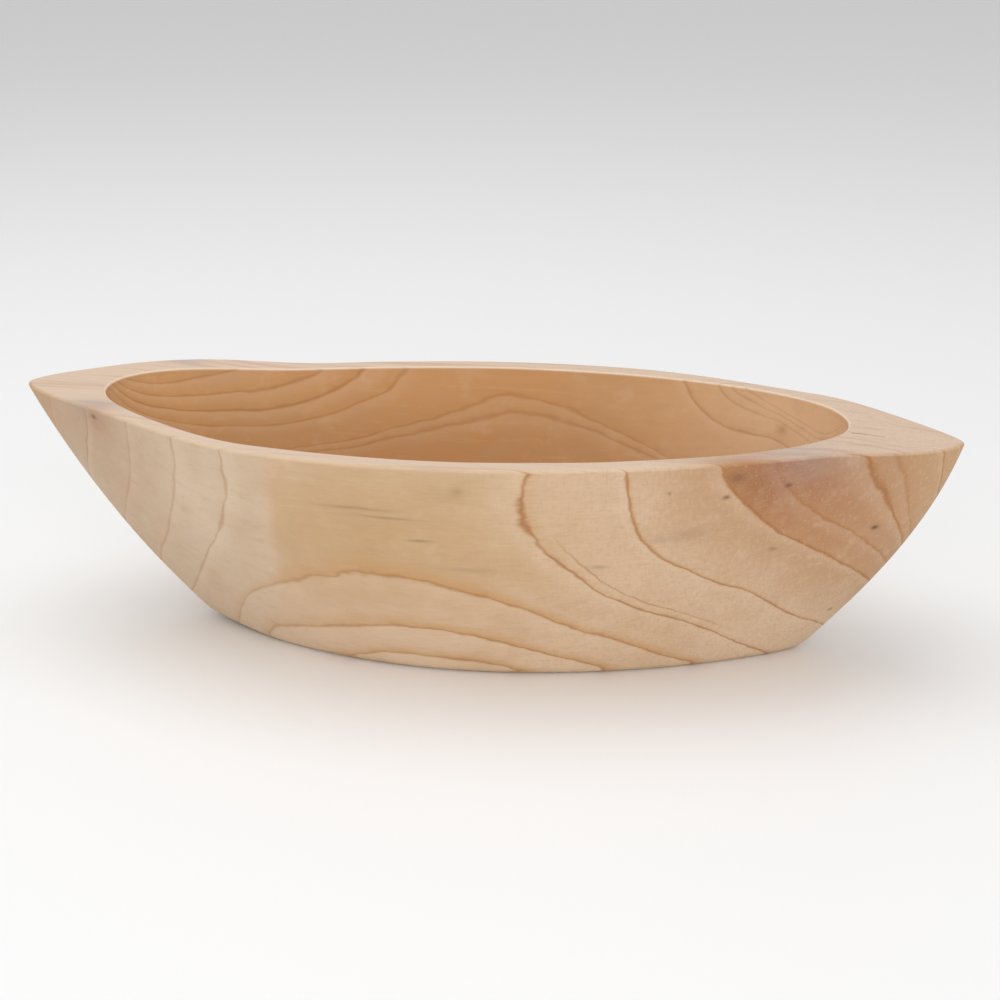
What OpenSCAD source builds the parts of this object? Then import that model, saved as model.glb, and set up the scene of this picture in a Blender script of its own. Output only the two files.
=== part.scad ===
// Hand-carved dough bowl: one billet of wood, hollowed out, with two pointed
// ends that finish in flat lands, raked stems and a flat foot.
// Length runs along X, width along Y, and the foot stands on Z = 0.

/* [Overall] */
// Length from tip to tip
length = 500; // [440:5:580]
// Width across the rim at the middle
beam = 212; // [190:1:250]

/* [Rim heights] */
// Height of the flat land at the left end
left_land_h = 130; // [115:0.5:145]
// Height of the rim left of the middle
left_side_h = 122.5; // [110:0.5:140]
// Height of the rim right of the middle
right_side_h = 125; // [110:0.5:140]
// Height of the tip at the right end
right_tip_h = 118; // [105:0.5:135]

/* [Foot and outside wall] */
// How far the left tip hangs out past the foot
left_rake = 98; // [60:1:120]
// How far the right tip hangs out past the foot
right_rake = 81; // [60:1:120]
// How far each side leans out past the foot
side_rake = 43; // [20:1:55]
// How much the outside wall swells between foot and rim
wall_swell = 0.4; // [0:0.05:0.7]
// Radius that eases the edge of the foot
foot_round = 4; // [1:0.5:8]

/* [Rim] */
// Width of the rim at the middle
rim_w = 15.5; // [10:0.5:22]
// Length of the flat land at the left end
left_land = 47; // [30:1:65]
// Length of the flat land at the right end
right_land = 61; // [30:1:75]
// Width of the blunt nose at each tip
nose_w = 15; // [6:1:24]
// Size of the eased outer edge of the rim
arris = 2; // [0.5:0.25:4]
// Radius of the rounded inner edge of the rim
lip_round = 3; // [1:0.5:6]

/* [Cavity] */
// Thickness of the wood under the cavity
floor_t = 15; // [8:0.5:30]
// How far the cavity's ends run in from the rim to the flat floor
end_run = 105; // [70:1:125]
// How far the cavity's sides run in from the rim to the flat floor
side_run = 52; // [30:1:65]
// How straight the cavity's wall is: 0 is a quarter ellipse, 1 a flat slope
wall_lean = 0.4; // [0.2:0.05:0.7]

/* [Outline curves] */
// Fullness of the rim and foot outlines
rim_full = 2; // [1.7:0.1:2.4]
// Sharpness of the rim's ends
rim_sharp = 0.9; // [0.8:0.02:1]
// Sharpness of the foot's ends
foot_sharp = 0.96; // [0.8:0.02:1.1]
// Fullness of the cavity outline
cavity_full = 1.75; // [1.55:0.05:2]
// Sharpness of the cavity's ends
cavity_sharp = 0.48; // [0.45:0.01:0.6]

/* [Hidden] */

half_l = length / 2;
foot_nose_w = nose_w / 2;
nose_full = 24;              // power that squares off the nose
ring_steps = 80;             // points around each ring
wall_steps = 6;              // rings up the outside wall
cavity_steps = 9;            // rings up the cavity wall
round_steps = 3;             // rings over each rounded edge

// Places along X where the rim's height is set
left_land_x = -0.86 * half_l;
left_side_x = -0.44 * half_l;
right_side_x = 0.7 * half_l;

// Smooth step from 0 to 1 as x goes from a to b
function ease(x, a, b) = let (u = min(1, max(0, (x - a) / (b - a)))) u * u * (3 - 2 * u);

// Height of the rim above the ground at x
function rim_h(x) =
    left_land_h
    + (left_side_h - left_land_h) * ease(x, left_land_x, left_side_x)
    + (right_side_h - left_side_h) * ease(x, left_side_x, right_side_x)
    + (right_tip_h - right_side_h) * ease(x, right_side_x, half_l);

// One point of a pointed oval at angle a. The reaches are its half lengths.
function oval(a, left_reach, right_reach, half_w, full, sharp, nose) =
    let (
        u = abs(cos(a)),
        side = (half_w - nose) * pow(max(0, 1 - pow(u, full)), sharp),
        blunt = nose * sqrt(max(0, 1 - pow(u, nose_full)))
    )
    [cos(a) * (cos(a) < 0 ? left_reach : right_reach), sign(sin(a)) * (side + blunt)];

// Outlines seen from above, each drawn in by the distance inset
function rim_oval(a, inset = 0) =
    oval(a, half_l - inset, half_l - inset, beam / 2 - inset, rim_full, rim_sharp, nose_w / 2);
function foot_oval(a, inset = 0) =
    oval(a, half_l - left_rake - inset, half_l - right_rake - inset,
         beam / 2 - side_rake - inset, rim_full, foot_sharp, foot_nose_w / 2);
function cavity_oval(a, inset = 0) =
    oval(a, half_l - left_land - inset, half_l - right_land - inset,
         beam / 2 - rim_w - inset, cavity_full, cavity_sharp, 0);
function floor_oval(a) =
    oval(a, half_l - left_land - end_run, half_l - right_land - end_run,
         beam / 2 - rim_w - side_run, cavity_full, cavity_sharp, 0);

// Angles of the points around a ring
ring_angles = [for (i = [0 : ring_steps - 1]) i * 360 / ring_steps];

// Outside wall at the share s of its height, drawn in near the foot's edge
function wall_ring(s) = [
    for (a = ring_angles)
        let (
            top = rim_oval(a),
            z = s * (rim_h(top.x) - arris),
            near_foot = max(0, 1 - z / foot_round),
            inset = foot_round * (1 - sqrt(1 - near_foot * near_foot)),
            low = foot_oval(a, inset),
            flat = low + (top - low) * (s + wall_swell * s * (1 - s))
        )
        [flat.x, flat.y, z]
];

// Rim's top at the cut-back of its outer edge
function top_ring() = [
    for (a = ring_angles) let (p = rim_oval(a, arris)) [p.x, p.y, rim_h(p.x)]
];

// Rounded inner edge of the rim, turned through the angle t
function lip_ring(t) = [
    for (a = ring_angles)
        let (p = cavity_oval(a, -lip_round * (1 - sin(t))))
        [p.x, p.y, rim_h(p.x) - lip_round * (1 - cos(t))]
];

// Cavity wall, from its top at t = 90 to the edge of the flat floor at t = 0
function cavity_ring(t) = [
    for (a = ring_angles)
        let (
            top = cavity_oval(a),
            low = floor_oval(a),
            out = wall_lean * (1 - cos(t)) + (1 - wall_lean) * sin(t),
            p = low + (top - low) * out,
            top_z = rim_h(top.x) - lip_round
        )
        [p.x, p.y, floor_t + (top_z - floor_t) * (1 - cos(t))]
];

foot_share = foot_round / (left_side_h - arris);

bowl_rings = concat(
    [for (i = [0 : round_steps]) wall_ring(foot_share * (1 - cos(90 * i / round_steps)))],
    [for (i = [1 : wall_steps]) wall_ring(foot_share + (1 - foot_share) * i / wall_steps)],
    [top_ring()],
    [for (i = [0 : round_steps]) lip_ring(90 * i / round_steps)],
    [for (i = [cavity_steps - 1 : -1 : 0]) cavity_ring(90 * i / cavity_steps)]
);

// Closed skin over a stack of rings, capped at its first and last ring
module skin(rings) {
    n = len(rings[0]);
    last = (len(rings) - 1) * n;
    points = [for (ring = rings) each ring];
    sides = [
        for (k = [0 : len(rings) - 2], i = [0 : n - 1])
            let (j = (i + 1) % n, a = k * n + i, b = k * n + j)
            each [[a, a + n, b + n], [a, b + n, b]]
    ];
    caps = [[for (i = [0 : n - 1]) i], [for (i = [n - 1 : -1 : 0]) last + i]];
    polyhedron(points, concat(sides, caps), convexity = 6);
}

// The whole bowl, carved from one piece
module bowl() {
    color("burlywood")
        skin(bowl_rings);
}

bowl();
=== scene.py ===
import math

import bmesh
import bpy
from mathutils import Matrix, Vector, noise


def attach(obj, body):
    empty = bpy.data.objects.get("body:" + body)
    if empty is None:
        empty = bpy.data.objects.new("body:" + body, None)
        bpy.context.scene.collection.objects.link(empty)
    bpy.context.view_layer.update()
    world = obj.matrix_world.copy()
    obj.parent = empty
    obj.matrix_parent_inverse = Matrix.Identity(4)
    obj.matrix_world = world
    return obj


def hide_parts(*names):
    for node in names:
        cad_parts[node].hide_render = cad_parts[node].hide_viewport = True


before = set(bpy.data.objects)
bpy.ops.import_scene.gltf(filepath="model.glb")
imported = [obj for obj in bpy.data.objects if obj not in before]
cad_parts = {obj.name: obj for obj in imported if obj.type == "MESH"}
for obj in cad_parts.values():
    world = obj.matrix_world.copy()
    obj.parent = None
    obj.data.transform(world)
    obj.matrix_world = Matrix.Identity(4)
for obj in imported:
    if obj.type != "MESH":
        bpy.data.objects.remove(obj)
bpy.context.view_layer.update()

# ---------------------------------------------------------------- The bowl
# One billet of pale, plain-sawn wood, cut with its heart side up. It is hewn
# to a boat shape, hollowed with a gouge, and sanded. Nothing is joined on.

HALF_LENGTH = 0.250
HALF_BEAM = 0.106
LEFT_LAND_H = 0.130
LEFT_SIDE_H = 0.1225
RIGHT_SIDE_H = 0.125
RIGHT_TIP_H = 0.118
LEFT_RAKE = 0.098
RIGHT_RAKE = 0.081
SIDE_RAKE = 0.043
WALL_SWELL = 0.4             # bulge of the outside, as a share of its reach
SWELL_RIGHT = 0.1            # how much more the right end bulges than the left
FOOT_ROUND = 0.004
RIM_W = 0.0143
LEFT_LAND = 0.0458
RIGHT_LAND = 0.0598
NOSE_HALF_W = 0.0075
ARRIS = 0.002
LIP_ROUND = 0.0018
FLOOR_T = 0.015
END_RUN = 0.106
SIDE_RUN = 0.053
WALL_LEAN = 0.4
FAR_LEFT_FULL = 0.007        # the far rim stands out by this at the left
FAR_RIGHT_LEAN = 0.006       # and falls back by this at the right
FOOT_LIFT = 0.003            # the foot's left end sweeps up by this
TOOL_HOLLOW = 0.0002         # mean depth of the hollows that the gouge leaves
CRACK_HALF_W = 0.0009
CRACK_DEPTH = 0.0014
CRACK_FLOOR_Z = 0.115        # the crack stays above this height

TURNS = 384                  # points around the bowl
FOOT_RINGS = 10
ROUND_RINGS = 6
WALL_RINGS = 64
ARRIS_RINGS = 6
TOP_RINGS = 16
LIP_RINGS = 6
CAVITY_RINGS = 54
FLOOR_RINGS = 14


def ease(value, start, end):
    share = min(1.0, max(0.0, (value - start) / (end - start)))
    return share * share * (3 - 2 * share)


def rim_height(x):
    return (LEFT_LAND_H
            + (LEFT_SIDE_H - LEFT_LAND_H) * ease(x, -0.215, -0.110)
            + (RIGHT_SIDE_H - LEFT_SIDE_H) * ease(x, -0.110, 0.175)
            + (RIGHT_TIP_H - RIGHT_SIDE_H) * ease(x, 0.175, HALF_LENGTH))


def pointed_oval(turn, left, right, half_w, full, sharp, nose):
    """A boat-shaped outline: a pointed oval with a small blunt nose."""
    along = abs(math.cos(turn))
    side = (half_w - nose) * max(0.0, 1 - along ** full) ** sharp
    blunt = nose * math.sqrt(max(0.0, 1 - along ** 24))
    x = math.cos(turn) * (left if math.cos(turn) < 0 else right)
    return Vector((x, math.copysign(side + blunt, math.sin(turn)), 0))


def hump(value, centre, reach):
    """A smooth hump of height 1 that dies away past its reach."""
    return math.exp(-((value - centre) / reach) ** 2)


def rim_outline(turn, inset=0.0):
    point = pointed_oval(turn, HALF_LENGTH - inset, HALF_LENGTH - inset,
                         HALF_BEAM - inset, 2, 0.9, NOSE_HALF_W)
    if point.y > 0:
        point.y += FAR_LEFT_FULL * hump(point.x, -0.165, 0.045)
        point.y -= FAR_RIGHT_LEAN * hump(point.x, 0.160, 0.050)
    return point


def foot_outline(turn, inset=0.0):
    return pointed_oval(turn, HALF_LENGTH - LEFT_RAKE - inset,
                        HALF_LENGTH - RIGHT_RAKE - inset,
                        HALF_BEAM - SIDE_RAKE - inset, 2, 0.96, NOSE_HALF_W / 2)


def mouth_outline(turn, inset=0.0):
    return pointed_oval(turn, HALF_LENGTH - LEFT_LAND - inset,
                        HALF_LENGTH - RIGHT_LAND - inset,
                        HALF_BEAM - RIM_W - inset, 1.75, 0.48, 0)


def floor_outline(turn):
    return pointed_oval(turn, HALF_LENGTH - LEFT_LAND - END_RUN,
                        HALF_LENGTH - RIGHT_LAND - END_RUN,
                        HALF_BEAM - RIM_W - SIDE_RUN, 1.75, 0.48, 0)


def on_foot(turn, share):
    return foot_outline(turn, FOOT_ROUND) * share


def on_wall(turn, share):
    top = rim_outline(turn)
    height = share * (rim_height(top.x) - ARRIS)
    near = max(0.0, 1 - height / FOOT_ROUND)
    low = foot_outline(turn, FOOT_ROUND * (1 - math.sqrt(1 - near * near)))
    swell = WALL_SWELL + SWELL_RIGHT * math.cos(turn) ** 3
    out = low.lerp(top, share + swell * share * (1 - share))
    out.z = height
    return out


def on_arris(turn, share):
    swing = share * math.pi / 2
    edge = rim_outline(turn)
    top = rim_outline(turn, ARRIS * (1 - math.cos(swing)))
    top.z = rim_height(edge.x) - ARRIS * (1 - math.sin(swing))
    return top


def on_top(turn, share):
    outer = rim_outline(turn, ARRIS)
    inner = mouth_outline(turn, -LIP_ROUND)
    point = outer.lerp(inner, share)
    point.z = rim_height(point.x)
    return point


def on_lip(turn, share):
    swing = share * math.pi / 2
    point = mouth_outline(turn, -LIP_ROUND * (1 - math.sin(swing)))
    point.z = rim_height(point.x) - LIP_ROUND * (1 - math.cos(swing))
    return point


def on_cavity(turn, share):
    swing = (1 - share) * math.pi / 2
    top = mouth_outline(turn)
    out = WALL_LEAN * (1 - math.cos(swing)) + (1 - WALL_LEAN) * math.sin(swing)
    point = floor_outline(turn).lerp(top, out)
    drop = rim_height(top.x) - LIP_ROUND - FLOOR_T
    point.z = FLOOR_T + drop * (1 - math.cos(swing))
    return point


def on_floor(turn, share):
    point = floor_outline(turn) * (1 - share)
    point.z = FLOOR_T
    return point


foot_share = FOOT_ROUND / LEFT_SIDE_H
stations = [(on_foot, (i + 1) / FOOT_RINGS) for i in range(FOOT_RINGS)]
stations += [(on_wall, foot_share * (1 - math.cos(math.pi / 2 * i / ROUND_RINGS)))
             for i in range(1, ROUND_RINGS + 1)]
stations += [(on_wall, foot_share + (1 - foot_share) * i / WALL_RINGS)
             for i in range(1, WALL_RINGS + 1)]
stations += [(on_arris, i / ARRIS_RINGS) for i in range(1, ARRIS_RINGS + 1)]
stations += [(on_top, i / TOP_RINGS) for i in range(1, TOP_RINGS + 1)]
stations += [(on_lip, i / LIP_RINGS) for i in range(1, LIP_RINGS + 1)]
stations += [(on_cavity, i / CAVITY_RINGS) for i in range(1, CAVITY_RINGS + 1)]
stations += [(on_floor, 0.97 * i / FLOOR_RINGS) for i in range(1, FLOOR_RINGS + 1)]
sanding = {on_arris: lambda share: 0.35 + 0.65 * share, on_top: lambda share: 1.0,
           on_lip: lambda share: 1 - share}
hollowing = {on_lip: lambda share: share, on_cavity: lambda share: 1.0,
             on_floor: lambda share: 1.0}

shell = bmesh.new()
turn_of = shell.verts.layers.int.new("turn")
sanded = shell.verts.layers.float.new("sanded")
hollow = shell.verts.layers.float.new("hollow")

# The foot's middle is a small fan, and every ring of the shell grows from it.
bmesh.ops.create_circle(shell, cap_ends=True, cap_tris=True, segments=TURNS,
                        radius=FOOT_ROUND)
ring = sorted((v for v in shell.verts if v.co.length > FOOT_ROUND / 2),
              key=lambda v: math.atan2(v.co.y, v.co.x) % (2 * math.pi))
for number, vert in enumerate(ring):
    vert[turn_of] = number
edges = [e for e in shell.edges if e.is_boundary]


def by_hand(point):
    """Lift the left end of the foot, and the wall just above it."""
    low_down = max(0.0, 1 - point.z / 0.05) ** 2
    point.z += FOOT_LIFT * ease(point.x, -0.100, -0.150) * low_down
    return point


for number, (surface, share) in enumerate(stations):
    if number:
        grown = bmesh.ops.extrude_edge_only(shell, edges=edges)["geom"]
        ring = [g for g in grown if isinstance(g, bmesh.types.BMVert)]
        edges = [g for g in grown if isinstance(g, bmesh.types.BMEdge)]
    for vert in ring:
        vert.co = by_hand(surface(math.tau * (vert[turn_of] + 0.5) / TURNS, share))
        if surface in sanding:
            vert[sanded] = sanding[surface](share)
        if surface in hollowing:
            vert[hollow] = hollowing[surface](share)
cap = bmesh.ops.edgeloop_fill(shell, edges=edges)["faces"]
bmesh.ops.poke(shell, faces=cap)
bmesh.ops.recalc_face_normals(shell, faces=shell.faces)

# A drying crack runs from the mouth towards the right tip, widest at the mouth.
crack = [Vector((0.1930, -0.0140)), Vector((0.2010, -0.0122)), Vector((0.2090, -0.0112))]
split = shell.verts.layers.float.new("split")


def from_crack(place):
    """Distance from the crack's line, and how far along it: 0 to 1."""
    best = (1.0, 0.0)
    for number in (0, 1):
        run = crack[number + 1] - crack[number]
        share = (place.xy - crack[number]).dot(run) / run.length_squared
        share = min(1.0, max(0.0, share))
        gap = (place.xy - crack[number] - run * share).length
        best = min(best, (gap, (number + share) / 2))
    return best


def on_land(edge):
    return min(v.co.z for v in edge.verts) > CRACK_FLOOR_Z


round_crack = []
for edge in shell.edges:
    middle = (edge.verts[0].co + edge.verts[1].co) / 2
    if on_land(edge) and from_crack(middle)[0] < 0.003:
        round_crack.append(edge)
bmesh.ops.subdivide_edges(shell, edges=round_crack, cuts=8, use_grid_fill=True)
shell.normal_update()
for vert in shell.verts:
    # Gouge and sander leave the faces a little hollow, and never proud.
    if vert.co.z > 0.006:
        depth = TOOL_HOLLOW * (1 + noise.noise(vert.co * 28.0))
        vert.co -= vert.normal * depth * min(1.0, vert.co.z / 0.02)
    away, along = from_crack(vert.co)
    if away < CRACK_HALF_W and vert.co.z > CRACK_FLOOR_Z:
        open_here = min(1.0, 1.7 * (1 - away / CRACK_HALF_W))
        vert[split] = open_here * (1 - 0.6 * along)
        vert.co.z -= CRACK_DEPTH * vert[split]
for face in shell.faces:
    face.smooth = True
mesh = bpy.data.meshes.new("bowl_wood")
shell.to_mesh(mesh)
shell.free()
bowl = bpy.data.objects.new("bowl_wood", mesh)
bpy.context.scene.collection.objects.link(bowl)


def make(tree, kind, inputs=None, **settings):
    """Add a shader node, set its options, and fill or link its inputs."""
    node = tree.nodes.new("ShaderNode" + kind)
    for name, value in settings.items():
        setattr(node, name, value)
    for name, value in (inputs or {}).items():
        if isinstance(value, bpy.types.NodeSocket):
            tree.links.new(value, node.inputs[name])
        else:
            node.inputs[name].default_value = value
    return node


def calc(tree, operation, *values, clamp=False):
    return make(tree, "Math", dict(enumerate(values)), operation=operation,
                use_clamp=clamp).outputs[0]


def times(tree, first, *others):
    """Multiply shares or masks together."""
    for other in others:
        first = calc(tree, "MULTIPLY", first, other)
    return first


def vector_calc(tree, operation, *values):
    node = make(tree, "VectorMath", dict(enumerate(values)), operation=operation)
    return node.outputs["Value" if operation in ("LENGTH", "DISTANCE") else "Vector"]


def step(tree, value, start, end, low=0.0, high=1.0):
    """A smooth step from low to high as the value goes from start to end."""
    return make(tree, "MapRange", {"Value": value, "From Min": start, "From Max": end,
                                   "To Min": low, "To Max": high},
                interpolation_type="SMOOTHSTEP").outputs[0]


def mix(tree, share, first, second, blend="MIX"):
    node = make(tree, "Mix", {0: share}, data_type="RGBA", blend_type=blend)
    for number, value in ((6, first), (7, second)):
        if isinstance(value, bpy.types.NodeSocket):
            tree.links.new(value, node.inputs[number])
        else:
            node.inputs[number].default_value = (*value, 1)
    return node.outputs[2]


def noise_value(tree, where, scale, detail=2.0, rough=0.5, distort=0.0):
    return make(tree, "TexNoise", {"Vector": where, "Scale": scale, "Detail": detail,
                                   "Roughness": rough, "Distortion": distort}).outputs[0]


def new_group(name, inputs, outputs):
    """An empty node group with plain number sockets."""
    group = bpy.data.node_groups.new(name, "ShaderNodeTree")
    for label, kind in inputs:
        group.interface.new_socket(label, in_out="INPUT", socket_type="NodeSocket" + kind)
    for label, kind in outputs:
        group.interface.new_socket(label, in_out="OUTPUT", socket_type="NodeSocket" + kind)
    return (group, group.nodes.new("NodeGroupInput").outputs,
            group.nodes.new("NodeGroupOutput").inputs)


# A soft round spot in the wood: 1 at its centre, fading past its reach.
spot_group, given, result = new_group(
    "soft_spot",
    [("Place", "Vector"), ("Centre", "Vector"), ("Stretch", "Vector"), ("Reach", "Float")],
    [("Mask", "Float")])
away = vector_calc(spot_group, "SUBTRACT", given["Place"], given["Centre"])
away = vector_calc(spot_group, "MULTIPLY", away, given["Stretch"])
near = calc(spot_group, "DIVIDE", vector_calc(spot_group, "LENGTH", away), given["Reach"])
fall = calc(spot_group, "EXPONENT", times(spot_group, near, near, -1.0))
spot_group.links.new(fall, result["Mask"])

# One growth ring: the late wood darkens towards the ring's edge, ends in a
# thin dark line, and the next ring starts light.
ring_group, given, result = new_group(
    "growth_ring",
    [("Growth", "Float"), ("Along", "Float"), ("Radius", "Float"), ("Band", "Float"),
     ("Line", "Float"), ("Breadth", "Float"), ("From", "Float"), ("To", "Float")],
    [("Band", "Float"), ("Line", "Float"), ("Fresh", "Float")])
inside = calc(ring_group, "SUBTRACT", given["Radius"], given["Growth"])
rise = make(ring_group, "MapRange", {"Value": inside, "From Min": given["Band"], "From Max": 0.0,
                                     "To Min": 0.0, "To Max": 1.0}).outputs[0]
rise = calc(ring_group, "POWER", rise, 1.4)
stop = step(ring_group, inside, -0.0002, 0.0001)
line_width = times(ring_group, given["Line"], given["Breadth"])
off_line = calc(ring_group, "DIVIDE", inside, line_width)
line = calc(ring_group, "EXPONENT", times(ring_group, off_line, off_line, -1.0))
from_start = calc(ring_group, "SUBTRACT", given["Along"], given["From"])
to_end = calc(ring_group, "SUBTRACT", given["To"], given["Along"])
there = times(ring_group, step(ring_group, from_start, -0.01, 0.01),
              step(ring_group, to_end, -0.01, 0.01))
past_line = step(ring_group, inside, -0.0002, -0.0005)
still_light = step(ring_group, inside, -0.0040, -0.0005)
ring_group.links.new(times(ring_group, past_line, still_light, there), result["Fresh"])
ring_group.links.new(times(ring_group, rise, stop, there), result["Band"])
ring_group.links.new(times(ring_group, line, there), result["Line"])

wood = bpy.data.materials.new("pale_wood")
wood.use_nodes = True
tree = wood.node_tree
shader = tree.nodes["Principled BSDF"]
place = make(tree, "TexCoord").outputs["Object"]


def spot(centre, reach, stretch=(1, 1, 1), where=None):
    node = make(tree, "Group", node_tree=spot_group)
    tree.links.new(where or place, node.inputs["Place"])
    node.inputs["Centre"].default_value = centre
    node.inputs["Stretch"].default_value = stretch
    node.inputs["Reach"].default_value = reach
    return node.outputs["Mask"]


# Growth radius: distance from the heart of the log, which runs above the
# bowl along its length and dips in the middle. Swirls bend the rings.
fibres = vector_calc(tree, "MULTIPLY", place, (16.0, 240.0, 240.0))
fibre = noise_value(tree, fibres, 1.0, 3.0, 0.6)
sway = make(tree, "TexNoise", {"Vector": place, "Scale": 45.0, "Detail": 2.0}).outputs["Color"]
sway = vector_calc(tree, "SUBTRACT", sway, (0.5, 0.5, 0.5))
sway = vector_calc(tree, "MULTIPLY", sway, (0.0016, 0.0016, 0.0016))
grown = vector_calc(tree, "ADD", place, sway)
axes = make(tree, "SeparateXYZ", {0: grown}).outputs
reach = calc(tree, "DIVIDE", axes["X"], HALF_LENGTH)
reach_squared = calc(tree, "MULTIPLY", reach, reach)


def heart(base, slope, bend):
    line = calc(tree, "MULTIPLY_ADD", reach, slope, base)
    return calc(tree, "MULTIPLY_ADD", reach_squared, bend, line)


across = calc(tree, "SUBTRACT", axes["Y"], heart(0.034, 0.003, 0.010))
down = calc(tree, "SUBTRACT", axes["Z"], heart(0.147, -0.011, 0.027))
squared = calc(tree, "MULTIPLY_ADD", times(tree, across, across), 1.8, times(tree, down, down))
growth = calc(tree, "SQRT", squared)
swirls = (                   # centre, reach, and how far the rings are pushed out
    ((-0.190, -0.015, 0.080), 0.06, 0.006),
    ((-0.135, -0.065, 0.030), 0.08, 0.007),
    ((-0.110, -0.040, 0.025), 0.03, 0.004),
    ((-0.010, -0.100, 0.120), 0.075, -0.013),
    ((0.110, -0.090, 0.115), 0.09, -0.013),
    ((0.140, -0.085, 0.140), 0.08, -0.020),
    ((0.120, -0.050, 0.030), 0.05, 0.004),
    ((0.235, -0.020, 0.115), 0.035, 0.008),
    ((-0.175, 0.050, 0.150), 0.05, 0.019),
    ((0.110, 0.060, 0.090), 0.10, 0.012),
    ((0.155, 0.045, 0.106), 0.028, 0.011),
    ((0.201, -0.045, 0.118), 0.018, 0.0012),
    ((0.142, -0.069, 0.099), 0.018, 0.0010),
    ((0.086, -0.091, 0.107), 0.015, 0.0011),
    ((0.143, -0.047, 0.045), 0.020, 0.0012),
)
for centre, size, push in swirls:
    growth = calc(tree, "MULTIPLY_ADD", spot(centre, size, where=grown), push, growth)
ragged = calc(tree, "SUBTRACT", fibre, 0.5)
feather = step(tree, axes["X"], -0.12, -0.06, 0.0002, 0.0009)
growth = calc(tree, "MULTIPLY_ADD", ragged, feather, growth)

# The rings, from the heart out: radius, width of the dark band, its
# strength, half width of the line, its strength, and where along the bowl.
rings = (
    (0.0530, 0.0010, 0.15, 0.00030, 0.35, 0.10, 0.3),
    (0.0560, 0.0015, 0.20, 0.00030, 0.40, 0.10, 0.3),
    (0.0595, 0.0015, 0.20, 0.00030, 0.40, 0.10, 0.3),
    (0.0630, 0.0025, 0.70, 0.00030, 0.50, -0.3, 0.0),
    (0.0680, 0.0025, 0.60, 0.00032, 0.55, -0.3, 0.3),
    (0.0730, 0.0030, 0.75, 0.00035, 0.70, -0.3, 0.0),
    (0.0780, 0.0025, 0.60, 0.00022, 0.50, -0.3, -0.055),
    (0.0867, 0.0035, 0.60, 0.00022, 0.45, -0.3, 0.3),
    (0.0890, 0.0020, 0.60, 0.00035, 0.45, -0.3, 0.3),
    (0.1010, 0.0020, 0.30, 0.00035, 0.60, 0.15, 0.3),
    (0.1037, 0.0025, 0.20, 0.00030, 0.45, -0.3, 0.15),
    (0.1130, 0.0025, 0.30, 0.00030, 0.35, 0.0, 0.3),
    (0.1165, 0.0018, 0.45, 0.00030, 0.75, 0.0, 0.3),
    (0.1224, 0.0020, 0.40, 0.00028, 0.80, -0.3, 0.0),
    (0.1242, 0.0020, 0.30, 0.00028, 0.50, 0.0, 0.3),
    (0.1320, 0.0070, 0.25, 0.00030, 0.80, 0.0, 0.3),
    (0.1396, 0.0030, 0.12, 0.00030, 0.55, -0.3, 0.0),
    (0.1540, 0.0014, 0.35, 0.00026, 0.65, -0.3, 0.0),
    (0.1529, 0.0014, 0.75, 0.00024, 0.80, 0.0, 0.3),
    (0.1655, 0.0010, 0.10, 0.00024, 0.90, -0.3, -0.02),
    (0.1662, 0.0006, 0.10, 0.00016, 0.55, 0.054, 0.13),
    (0.1685, 0.0022, 0.40, 0.00022, 0.85, -0.02, 0.3),
    (0.1791, 0.0028, 1.00, 0.00018, 0.60, -0.3, 0.3),
    (0.1869, 0.0028, 1.00, 0.00018, 0.65, -0.3, 0.3),
    (0.1926, 0.0022, 1.00, 0.00018, 0.50, -0.3, 0.3),
)
breadth = step(tree, noise_value(tree, grown, 70.0, 1.0), 0.3, 0.7, 0.7, 1.7)
bands = 0.0
lines = 0.0
light = 0.0
for radius, band, band_strength, half_width, line_strength, first, last in rings:
    ring_node = make(tree, "Group", node_tree=ring_group)
    for name, value in (("Growth", growth), ("Along", axes["X"]), ("Breadth", breadth)):
        tree.links.new(value, ring_node.inputs[name])
    for name, value in (("Radius", radius), ("Band", band), ("Line", half_width),
                        ("From", first), ("To", last)):
        ring_node.inputs[name].default_value = value
    bands = calc(tree, "MULTIPLY_ADD", ring_node.outputs["Band"], band_strength, bands)
    lines = calc(tree, "MULTIPLY_ADD", ring_node.outputs["Line"], line_strength, lines)
    light = calc(tree, "MULTIPLY_ADD", ring_node.outputs["Fresh"], line_strength, light)

tops = make(tree, "Attribute", attribute_name="sanded").outputs["Fac"]
inner = make(tree, "Attribute", attribute_name="hollow").outputs["Fac"]
# The rings are faint at the left end outside, and softer in the hollow.
clear = step(tree, axes["X"], -0.14, 0.02, 0.42, 1.0)
clear = make(tree, "Mix", {"Factor": inner, 2: clear, 3: 0.62}).outputs[0]
lines = times(tree, lines, clear)
bands = times(tree, bands, clear)
blotch = noise_value(tree, place, 14.0, 3.0, 0.6)
mottle = noise_value(tree, grown, 55.0, 3.0, 0.65)

def stain(colour, share, tone):
    """Lay a tone over the colour, as strongly as the share says."""
    return mix(tree, share, colour, tone)


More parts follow.
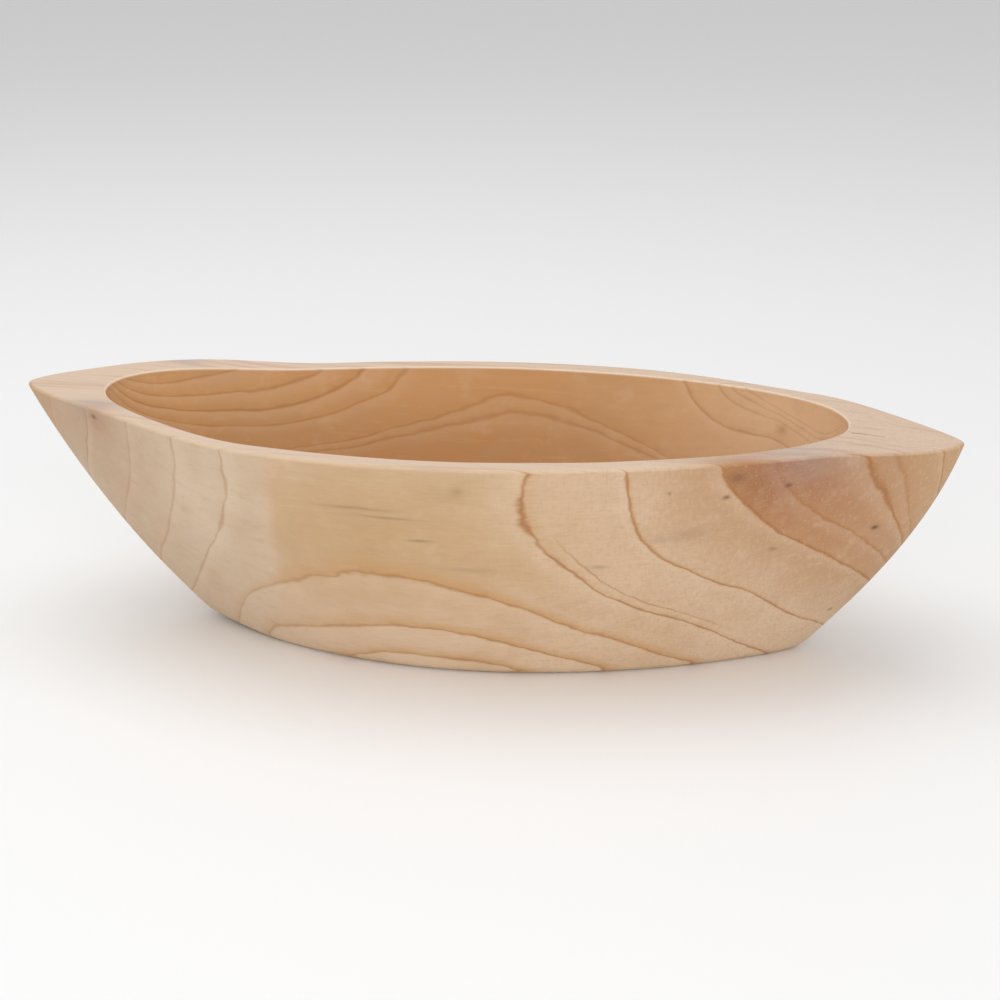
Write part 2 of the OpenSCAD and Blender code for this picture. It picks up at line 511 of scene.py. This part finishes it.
# Base tone: tan near the heart and paler towards the bark, with a tan middle,
# a greyer left end, and a pale and a brown patch on that end.
colour = mix(tree, step(tree, growth, 0.128, 0.160), (0.49, 0.285, 0.155), (0.635, 0.45, 0.305))
colour = stain(colour, step(tree, growth, 0.120, 0.100), (0.55, 0.34, 0.18))
middle = spot((-0.035, -0.095, 0.085), 0.075, (0.8, 1, 1.5))
middle = times(tree, middle, step(tree, axes["X"], -0.104, -0.092), 0.95)
colour = stain(colour, middle, (0.535, 0.345, 0.175))
left = step(tree, axes["X"], -0.092, -0.104)
left = times(tree, left, step(tree, growth, 0.095, 0.12), 0.95)
colour = stain(colour, left, (0.61, 0.465, 0.325))
pale_patch = times(tree, spot((-0.148, -0.065, 0.085), 0.028), 0.75)
colour = stain(colour, pale_patch, (0.70, 0.565, 0.42))
brown_patch = times(tree, spot((-0.205, -0.045, 0.115), 0.045, (1, 1, 0.8)), 0.75)
colour = stain(colour, brown_patch, (0.50, 0.34, 0.225))

# The rust-red stain on the right stops short at one ring, on the near side.
stops_at_ring = times(tree, step(tree, growth, 0.1323, 0.1317), step(tree, axes["Y"], 0.02, -0.01))
red = times(tree, spot((0.135, -0.08, 0.122), 0.055, (0.7, 1, 1.3)), stops_at_ring)
colour = stain(colour, red, (0.26, 0.065, 0.008))
red = times(tree, spot((0.165, -0.06, 0.080), 0.045, (0.8, 1, 1.3)), stops_at_ring, 0.55)
colour = stain(colour, red, (0.44, 0.19, 0.08))

# The hollow is deeper orange, partly its own warmer tone and partly painted
# bounce light. It is lighter towards its right end, and it is darker low down
# and lighter towards its rim as painted shade.
# Painted shade: the hollow's tone is darker towards its bottom.
hollow_tone_and_painted_shade = mix(tree, step(tree, axes["Z"], 0.075, 0.115), (0.55, 0.275, 0.10), (0.63, 0.335, 0.135))
right_end = spot((0.155, 0.05, 0.11), 0.07, (0.9, 1, 1))
hollow_tone_and_painted_shade = stain(hollow_tone_and_painted_shade, right_end, (0.72, 0.47, 0.27))
colour = stain(colour, times(tree, inner, 0.85), hollow_tone_and_painted_shade)
# Painted light: everything below 55 mm is painted paler towards the bottom, lifting the floor's shade
# off the low outer wall.
colour = stain(colour, step(tree, axes["Z"], 0.055, 0.0, 0.0, 0.55), (0.72, 0.54, 0.37))

# Broad blotches, finer mottling and fibres drawn out along the bowl.
colour = stain(colour, step(tree, blotch, 0.45, 0.75, 0.0, 0.35), (0.53, 0.33, 0.17))
colour = stain(colour, step(tree, mottle, 0.50, 0.25, 0.0, 0.22), (0.70, 0.53, 0.38))
colour = stain(colour, step(tree, mottle, 0.50, 0.80, 0.0, 0.22), (0.50, 0.32, 0.18))
colour = stain(colour, step(tree, fibre, 0.50, 0.80, 0.0, 0.30), (0.46, 0.31, 0.18))
colour = stain(colour, step(tree, fibre, 0.45, 0.20, 0.0, 0.20), (0.72, 0.55, 0.40))
colour = stain(colour, calc(tree, "MULTIPLY", light, 0.22, clamp=True), (0.78, 0.62, 0.46))
colour = stain(colour, calc(tree, "MULTIPLY", bands, 0.75, clamp=True), (0.52, 0.265, 0.08))

# The sanded rim and lands are paler and yellower on the eased edge, with
# lengthwise grain and a brown patch. The lip gets a pale band of painted
# highlight, where its small edge would catch the light.
bevel = times(tree, step(tree, tops, 0.3, 0.4), step(tree, tops, 0.98, 0.90))
top_tone = mix(tree, bevel, (0.72, 0.555, 0.43), (0.72, 0.54, 0.36))
land_grain = noise_value(tree, vector_calc(tree, "MULTIPLY", grown, (7.0, 190.0, 30.0)), 1.0, 2.0, 0.6)
land_grain = step(tree, land_grain, 0.52, 0.68, 0.0, 0.55)
top_tone = stain(top_tone, land_grain, (0.58, 0.385, 0.27))
brown_rim = times(tree, spot((0.142, -0.080, 0.124), 0.020), 0.75)
top_tone = stain(top_tone, brown_rim, (0.52, 0.27, 0.15))
colour = stain(colour, times(tree, tops, 0.85), top_tone)
# Painted highlight: a pale band along the lip's edge, not wear.
lip_painted_highlight = times(tree, step(tree, inner, 0.02, 0.25), step(tree, inner, 0.85, 0.45), 0.7)
colour = stain(colour, lip_painted_highlight, (0.86, 0.70, 0.56))

# Ring lines show less where the wood is sanded, and the crack is dark inside.
lines = calc(tree, "MULTIPLY", lines, step(tree, mottle, 0.2, 0.55, 0.65, 1.0), clamp=True)
lines = times(tree, lines, calc(tree, "MULTIPLY_ADD", tops, -0.45, 0.85))
colour = stain(colour, lines, (0.33, 0.115, 0.02))
crack_mask = make(tree, "Attribute", attribute_name="split").outputs["Fac"]
colour = stain(colour, crack_mask, (0.10, 0.05, 0.03))

# Pin knots, stains and flecks: centre, reach, stretch, strength and colour.
DARK = (0.10, 0.045, 0.02)
RUST = (0.42, 0.19, 0.08)
TAN = (0.44, 0.27, 0.12)
GREY = (0.30, 0.20, 0.11)
BLUE = (0.42, 0.35, 0.33)
flaws = (
    ((-0.199, -0.046, 0.124), 0.0100, (1, 1, 1), 0.45, RUST),
    ((-0.199, -0.046, 0.124), 0.0018, (0.8, 1, 1.3), 0.75, DARK),
    ((0.163, -0.064, 0.110), 0.0055, (1, 1, 1), 0.55, RUST),
    ((0.163, -0.064, 0.110), 0.0017, (0.8, 1, 1.3), 0.95, DARK),
    ((0.139, -0.077, 0.117), 0.0030, (0.7, 1, 1), 0.60, DARK),
    ((0.133, -0.076, 0.106), 0.0015, (0.7, 1, 1.2), 0.75, DARK),
    ((0.206, -0.027, 0.078), 0.0018, (0.7, 1, 1.4), 0.95, DARK),
    ((0.156, -0.054, 0.073), 0.0016, (0.7, 1, 1.4), 0.45, DARK),
    ((0.185, -0.011, 0.027), 0.0014, (0.7, 1, 1.2), 0.70, DARK),
    ((0.106, -0.087, 0.110), 0.0009, (1, 1, 1), 0.70, DARK),
    ((0.116, -0.076, 0.086), 0.0070, (0.5, 1, 1.8), 0.30, GREY),
    ((0.102, -0.080, 0.084), 0.0060, (0.5, 1, 2.5), 0.22, GREY),
    ((0.071, -0.083, 0.069), 0.0022, (0.5, 1, 2.0), 0.50, GREY),
    ((0.008, -0.090, 0.066), 0.0045, (0.3, 1, 3.0), 0.30, GREY),
    ((-0.002, -0.104, 0.109), 0.0090, (0.7, 1, 1.5), 0.40, TAN),
    ((0.003, -0.104, 0.111), 0.0022, (0.8, 1, 1), 0.45, GREY),
    ((-0.050, -0.097, 0.098), 0.0080, (0.4, 1, 9), 0.55, GREY),
    ((-0.033, -0.097, 0.094), 0.0060, (0.4, 1, 9), 0.60, GREY),
    ((-0.017, -0.096, 0.082), 0.0030, (0.5, 1, 3.5), 0.80, GREY),
    ((-0.200, -0.038, 0.130), 0.0090, (0.6, 1, 1), 0.50, BLUE),
    ((-0.180, 0.060, 0.128), 0.0080, (0.6, 1, 1), 0.50, BLUE),
    ((0.166, -0.057, 0.125), 0.0140, (0.6, 1, 1), 0.45, BLUE),
    ((0.150, -0.078, 0.122), 0.0060, (0.25, 1, 1.2), 0.70, RUST),
    ((0.155, 0.045, 0.107), 0.0028, (0.8, 1, 1), 0.50, RUST),
)
for centre, size, stretch, strength, tone in flaws:
    mark = times(tree, spot(centre, size, stretch, where=grown), strength)
    colour = stain(colour, mark, tone)

# Sanding marks: fine scratches across the fibres, over the fibres' own ridges.
# They are strongest at the right, and the hollow is smooth.
across_fibres = vector_calc(tree, "MULTIPLY", place, (900.0, 700.0, 90.0))
scratch = calc(tree, "SUBTRACT", noise_value(tree, across_fibres, 1.0, 2.0, 0.6), 0.5)
along_fibres = vector_calc(tree, "MULTIPLY", place, (110.0, 900.0, 900.0))
thread = calc(tree, "ADD", noise_value(tree, along_fibres, 1.0, 2.0, 0.6), 0.5)
scratch_share = step(tree, axes["X"], -0.05, 0.12, 0.25, 0.9)
weave = calc(tree, "MULTIPLY_ADD", scratch, scratch_share, thread)
rough = times(tree, step(tree, inner, 1.0, 0.0), step(tree, axes["X"], -0.14, 0.15, 0.35, 1.0))
dark_threads = times(tree, rough, step(tree, weave, 0.95, 1.25, 0.0, 0.28))
colour = stain(colour, dark_threads, (0.42, 0.27, 0.16))
pale_threads = times(tree, rough, step(tree, weave, 0.95, 0.70, 0.0, 0.15))
colour = stain(colour, pale_threads, (0.76, 0.60, 0.45))
tree.links.new(colour, shader.inputs["Base Color"])
shader.inputs["Roughness"].default_value = 0.62
shader.inputs["Specular IOR Level"].default_value = 0.3
bump = make(tree, "Bump", {"Height": weave, "Strength": 0.25, "Distance": 0.0003})
tree.links.new(bump.outputs[0], shader.inputs["Normal"])
mesh.materials.append(wood)

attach(bowl, "root")
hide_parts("bowl")

# ------------------------------------------------------- Floor, light, camera
# A sheet of pale paper under two large soft lights, one overhead and one in
# front. The paper isn't part of the bowl.

FLOOR_HALF = 6
floor_mesh = bpy.data.meshes.new("floor")
sheet = bmesh.new()
bmesh.ops.create_grid(sheet, x_segments=1, y_segments=1, size=FLOOR_HALF)
sheet.to_mesh(floor_mesh)
sheet.free()
floor = bpy.data.objects.new("floor", floor_mesh)
bpy.context.scene.collection.objects.link(floor)
paper = bpy.data.materials.new("pale_paper")
paper.use_nodes = True
paper.node_tree.nodes["Principled BSDF"].inputs["Base Color"].default_value = (0.95, 0.95, 0.95, 1)
floor_mesh.materials.append(paper)

world = bpy.data.worlds.new("studio")
world.use_nodes = True
world.node_tree.nodes["Background"].inputs["Color"].default_value = (1, 1, 1, 1)
world.node_tree.nodes["Background"].inputs["Strength"].default_value = 0.6
bpy.context.scene.world = world
bpy.context.scene.view_settings.view_transform = "Standard"

for name, spot_at, size, watts in (("overhead", (-0.3, 0.1, 1.6), 1.8, 13),
                                   ("front", (0.6, -2.1, 0.5), 1.6, 20)):
    box_light = bpy.data.lights.new(name, "AREA")
    box_light.size = size
    box_light.energy = watts
    soft_box = bpy.data.objects.new(name, box_light)
    soft_box.location = spot_at
    soft_box.rotation_euler = Vector(spot_at).to_track_quat("Z", "Y").to_euler()
    bpy.context.scene.collection.objects.link(soft_box)

CAMERA_DISTANCE = 1.25
CAMERA_AZIMUTH = math.radians(8.84)
CAMERA_HEIGHT = math.radians(17.91)
target = Vector((0.0086, 0, 0.0743))
back = Vector((math.sin(CAMERA_AZIMUTH) * math.cos(CAMERA_HEIGHT),
               -math.cos(CAMERA_AZIMUTH) * math.cos(CAMERA_HEIGHT),
               math.sin(CAMERA_HEIGHT)))
lens = bpy.data.cameras.new("camera")
lens.lens = 84.31
lens.sensor_width = 36
camera = bpy.data.objects.new("camera", lens)
camera.location = target + back * CAMERA_DISTANCE
camera.rotation_euler = (math.pi / 2 - CAMERA_HEIGHT, 0, CAMERA_AZIMUTH)
bpy.context.scene.collection.objects.link(camera)
bpy.context.scene.camera = camera
